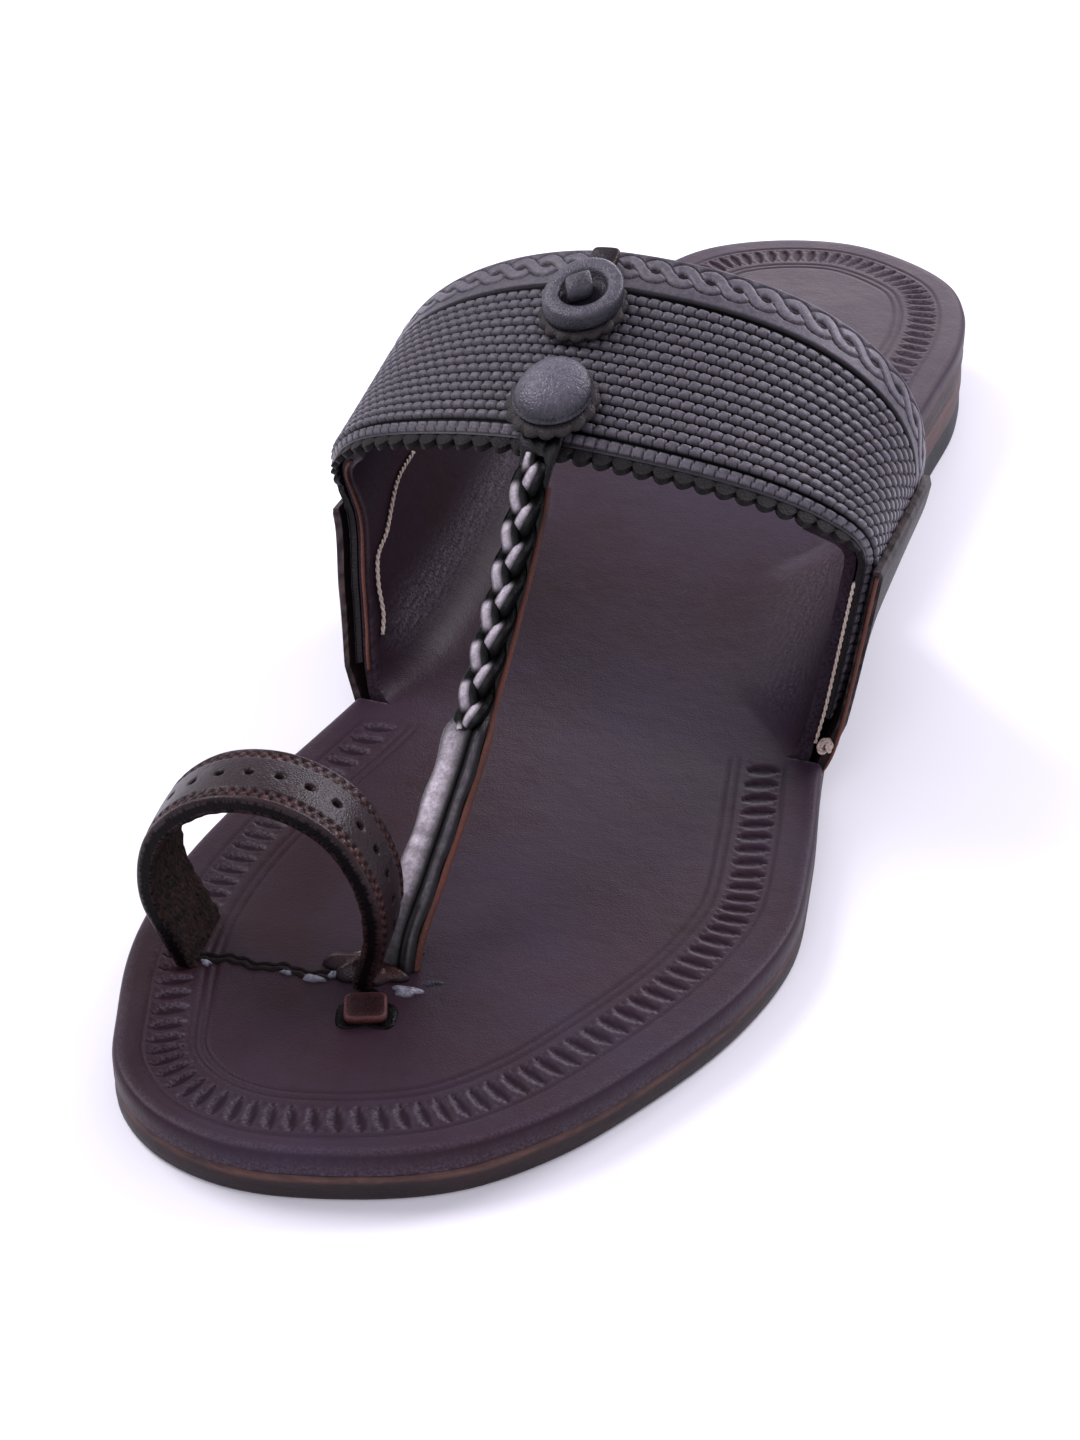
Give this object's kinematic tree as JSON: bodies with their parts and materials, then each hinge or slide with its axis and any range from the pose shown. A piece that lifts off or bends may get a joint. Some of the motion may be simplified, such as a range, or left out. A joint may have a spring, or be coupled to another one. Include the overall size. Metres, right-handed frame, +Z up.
{
  "type": "kolhapuri sandal",
  "caption": "Flat leather slip-on sandal with a big-toe loop, a braided toe strap, a woven instep band with leather buttons and a low stacked heel",
  "frame": {"origin": "middle of the sandal's bounding box in plan, at the height of the ground that it stands on", "axes": "+Z is up, the toes point to -Y, and +X is the little toe's side of this left shoe"},
  "size_m": [0.0928, 0.276, 0.0758],
  "materials": {
    "footbed_leather": "vegetable-tanned leather dyed dark purple-brown, waxed, semi-matt, with tooled borders",
    "outsole_leather": "thick sole leather, dark burnished edge",
    "heel_leather": "stacked leather lift with a red-brown cut edge",
    "heel_rubber": "hard black rubber top piece, matt",
    "strap_leather": "black goat leather, woven and braided, with a soft shine on the raised strips",
    "facing_leather": "dark leather with a brown raw edge",
    "washer_leather": "pinked black leather, matt",
    "button_leather": "black leather rubbed grey on its raised face",
    "peg_leather": "red-brown leather with black edges"
  },
  "bodies": {
    "root": {"footbed": "footbed_leather", "outsole": "outsole_leather", "heel_lift": "heel_leather", "heel_top_piece": "heel_rubber", "upper": "strap_leather", "ear_facing_medial": "facing_leather", "ear_facing_lateral": "facing_leather", "dome_washer": "washer_leather", "dome_button": "button_leather", "disc_washer": "washer_leather", "disc_button": "button_leather", "thong_knot": "strap_leather", "thong_tab": "strap_leather", "peg_tab": "peg_leather"}
  },
  "joints": []
}
